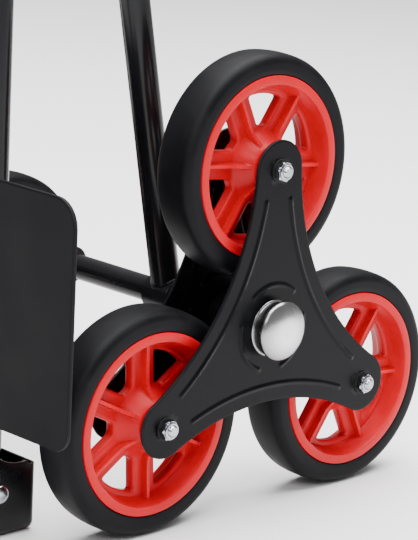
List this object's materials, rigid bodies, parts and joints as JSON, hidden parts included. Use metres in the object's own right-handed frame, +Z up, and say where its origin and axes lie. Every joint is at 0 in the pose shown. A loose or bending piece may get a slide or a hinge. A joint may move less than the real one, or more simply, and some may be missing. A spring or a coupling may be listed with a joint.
{
  "type": "stair-climbing folding trolley",
  "caption": "Folding stair-climbing hand trolley: black tube frame with a fold-down toe plate, a sliding handle and a cluster of red-rimmed wheels on each end of the axle.",
  "frame": {"origin": "on the ground, in the middle of the footprint between the foot tray's front edge and the rear tyres", "axes": "+Z up along the uprights, -Y to the front where the toe plate is, +X to the right as seen from the front (the side nearest in the picture)"},
  "size_m": [0.4898, 0.4058, 1.006],
  "materials": {
    "frame_steel": "gloss black enamel",
    "star_plate": "satin black powder coat",
    "toe_plate": "satin black powder coat",
    "tyre": "matt charcoal rubber",
    "rim": "red moulded plastic",
    "zinc": "bright zinc plate",
    "chrome": "polished",
    "handle_tube": "black coated",
    "foam": "matt foam",
    "black_plastic": "fine satin grain"
  },
  "bodies": {
    "frame": {"axle_tube": "frame_steel", "hub_cap_left": "chrome", "hub_cap_right": "chrome", "axle_spacer_left": "frame_steel", "axle_spacer_right": "frame_steel", "foot_tray": "frame_steel", "upright_left": "frame_steel", "upright_right": "frame_steel", "lower_cross_bar": "frame_steel", "upper_cross_bar": "frame_steel", "centre_stay": "frame_steel", "rear_strut_left": "frame_steel", "rear_strut_right": "frame_steel", "strut_gusset_left": "frame_steel", "strut_gusset_right": "frame_steel", "strut_rivet_left": "zinc", "strut_rivet_right": "zinc", "toe_hinge_pin_left": "zinc", "toe_hinge_pin_right": "zinc", "handle_collar_left": "black_plastic", "handle_collar_right": "black_plastic"},
    "toe_plate": {"toe_plate": "toe_plate"},
    "handle": {"handle_loop": "handle_tube", "handle_grip": "foam"},
    "cluster_left": {"star_plate_outer_left": "star_plate", "star_plate_inner_left": "star_plate", "hub_sleeve_left": "frame_steel", "wheel_bolt_upper_left": "zinc", "wheel_nut_upper_left": "zinc", "wheel_bolt_front_left": "zinc", "wheel_nut_front_left": "zinc", "wheel_bolt_rear_left": "zinc", "wheel_nut_rear_left": "zinc"},
    "wheel_upper_left": {"tyre_upper_left": "tyre", "rim_upper_left": "rim"},
    "wheel_front_left": {"tyre_front_left": "tyre", "rim_front_left": "rim"},
    "wheel_rear_left": {"tyre_rear_left": "tyre", "rim_rear_left": "rim"},
    "knob_left": {"lock_knob_left": "black_plastic"},
    "cluster_right": {"star_plate_outer_right": "star_plate", "star_plate_inner_right": "star_plate", "hub_sleeve_right": "frame_steel", "wheel_bolt_upper_right": "zinc", "wheel_nut_upper_right": "zinc", "wheel_bolt_front_right": "zinc", "wheel_nut_front_right": "zinc", "wheel_bolt_rear_right": "zinc", "wheel_nut_rear_right": "zinc"},
    "wheel_upper_right": {"tyre_upper_right": "tyre", "rim_upper_right": "rim"},
    "wheel_front_right": {"tyre_front_right": "tyre", "rim_front_right": "rim"},
    "wheel_rear_right": {"tyre_rear_right": "tyre", "rim_rear_right": "rim"},
    "knob_right": {"lock_knob_right": "black_plastic"}
  },
  "joints": [
    {"name": "toe_plate_fold", "type": "hinge", "parent": "frame", "child": "toe_plate", "pos_m": [0, -0.15956, 0.0314], "axis": [1, 0, 0], "range_deg": [0, 90]},
    {"name": "handle_slide", "type": "slide", "parent": "frame", "child": "handle", "axis": [0, 0, 1], "range_m": [0, 0.22]},
    {"name": "cluster_left_turn", "type": "hinge", "parent": "frame", "child": "cluster_left", "pos_m": [-0.2015, 0.02544, 0.13625], "axis": [1, 0, 0], "continuous": true},
    {"name": "wheel_upper_left_spin", "type": "hinge", "parent": "cluster_left", "child": "wheel_upper_left", "pos_m": [-0.2015, 0.02544, 0.24875], "axis": [1, 0, 0], "continuous": true},
    {"name": "wheel_front_left_spin", "type": "hinge", "parent": "cluster_left", "child": "wheel_front_left", "pos_m": [-0.2015, -0.07199, 0.08], "axis": [1, 0, 0], "continuous": true},
    {"name": "wheel_rear_left_spin", "type": "hinge", "parent": "cluster_left", "child": "wheel_rear_left", "pos_m": [-0.2015, 0.12286, 0.08], "axis": [1, 0, 0], "continuous": true},
    {"name": "knob_left_turn", "type": "hinge", "parent": "frame", "child": "knob_left", "pos_m": [-0.1195, -0.14066, 0.905], "axis": [1, 0, 0], "range_deg": [-360, 0]},
    {"name": "cluster_right_turn", "type": "hinge", "parent": "frame", "child": "cluster_right", "pos_m": [0.2015, 0.02544, 0.13625], "axis": [1, 0, 0], "continuous": true},
    {"name": "wheel_upper_right_spin", "type": "hinge", "parent": "cluster_right", "child": "wheel_upper_right", "pos_m": [0.2015, 0.02544, 0.24875], "axis": [1, 0, 0], "continuous": true},
    {"name": "wheel_front_right_spin", "type": "hinge", "parent": "cluster_right", "child": "wheel_front_right", "pos_m": [0.2015, -0.07199, 0.08], "axis": [1, 0, 0], "continuous": true},
    {"name": "wheel_rear_right_spin", "type": "hinge", "parent": "cluster_right", "child": "wheel_rear_right", "pos_m": [0.2015, 0.12286, 0.08], "axis": [1, 0, 0], "continuous": true},
    {"name": "knob_right_turn", "type": "hinge", "parent": "frame", "child": "knob_right", "pos_m": [0.1195, -0.14066, 0.905], "axis": [1, 0, 0], "range_deg": [-360, 0]}
  ]
}
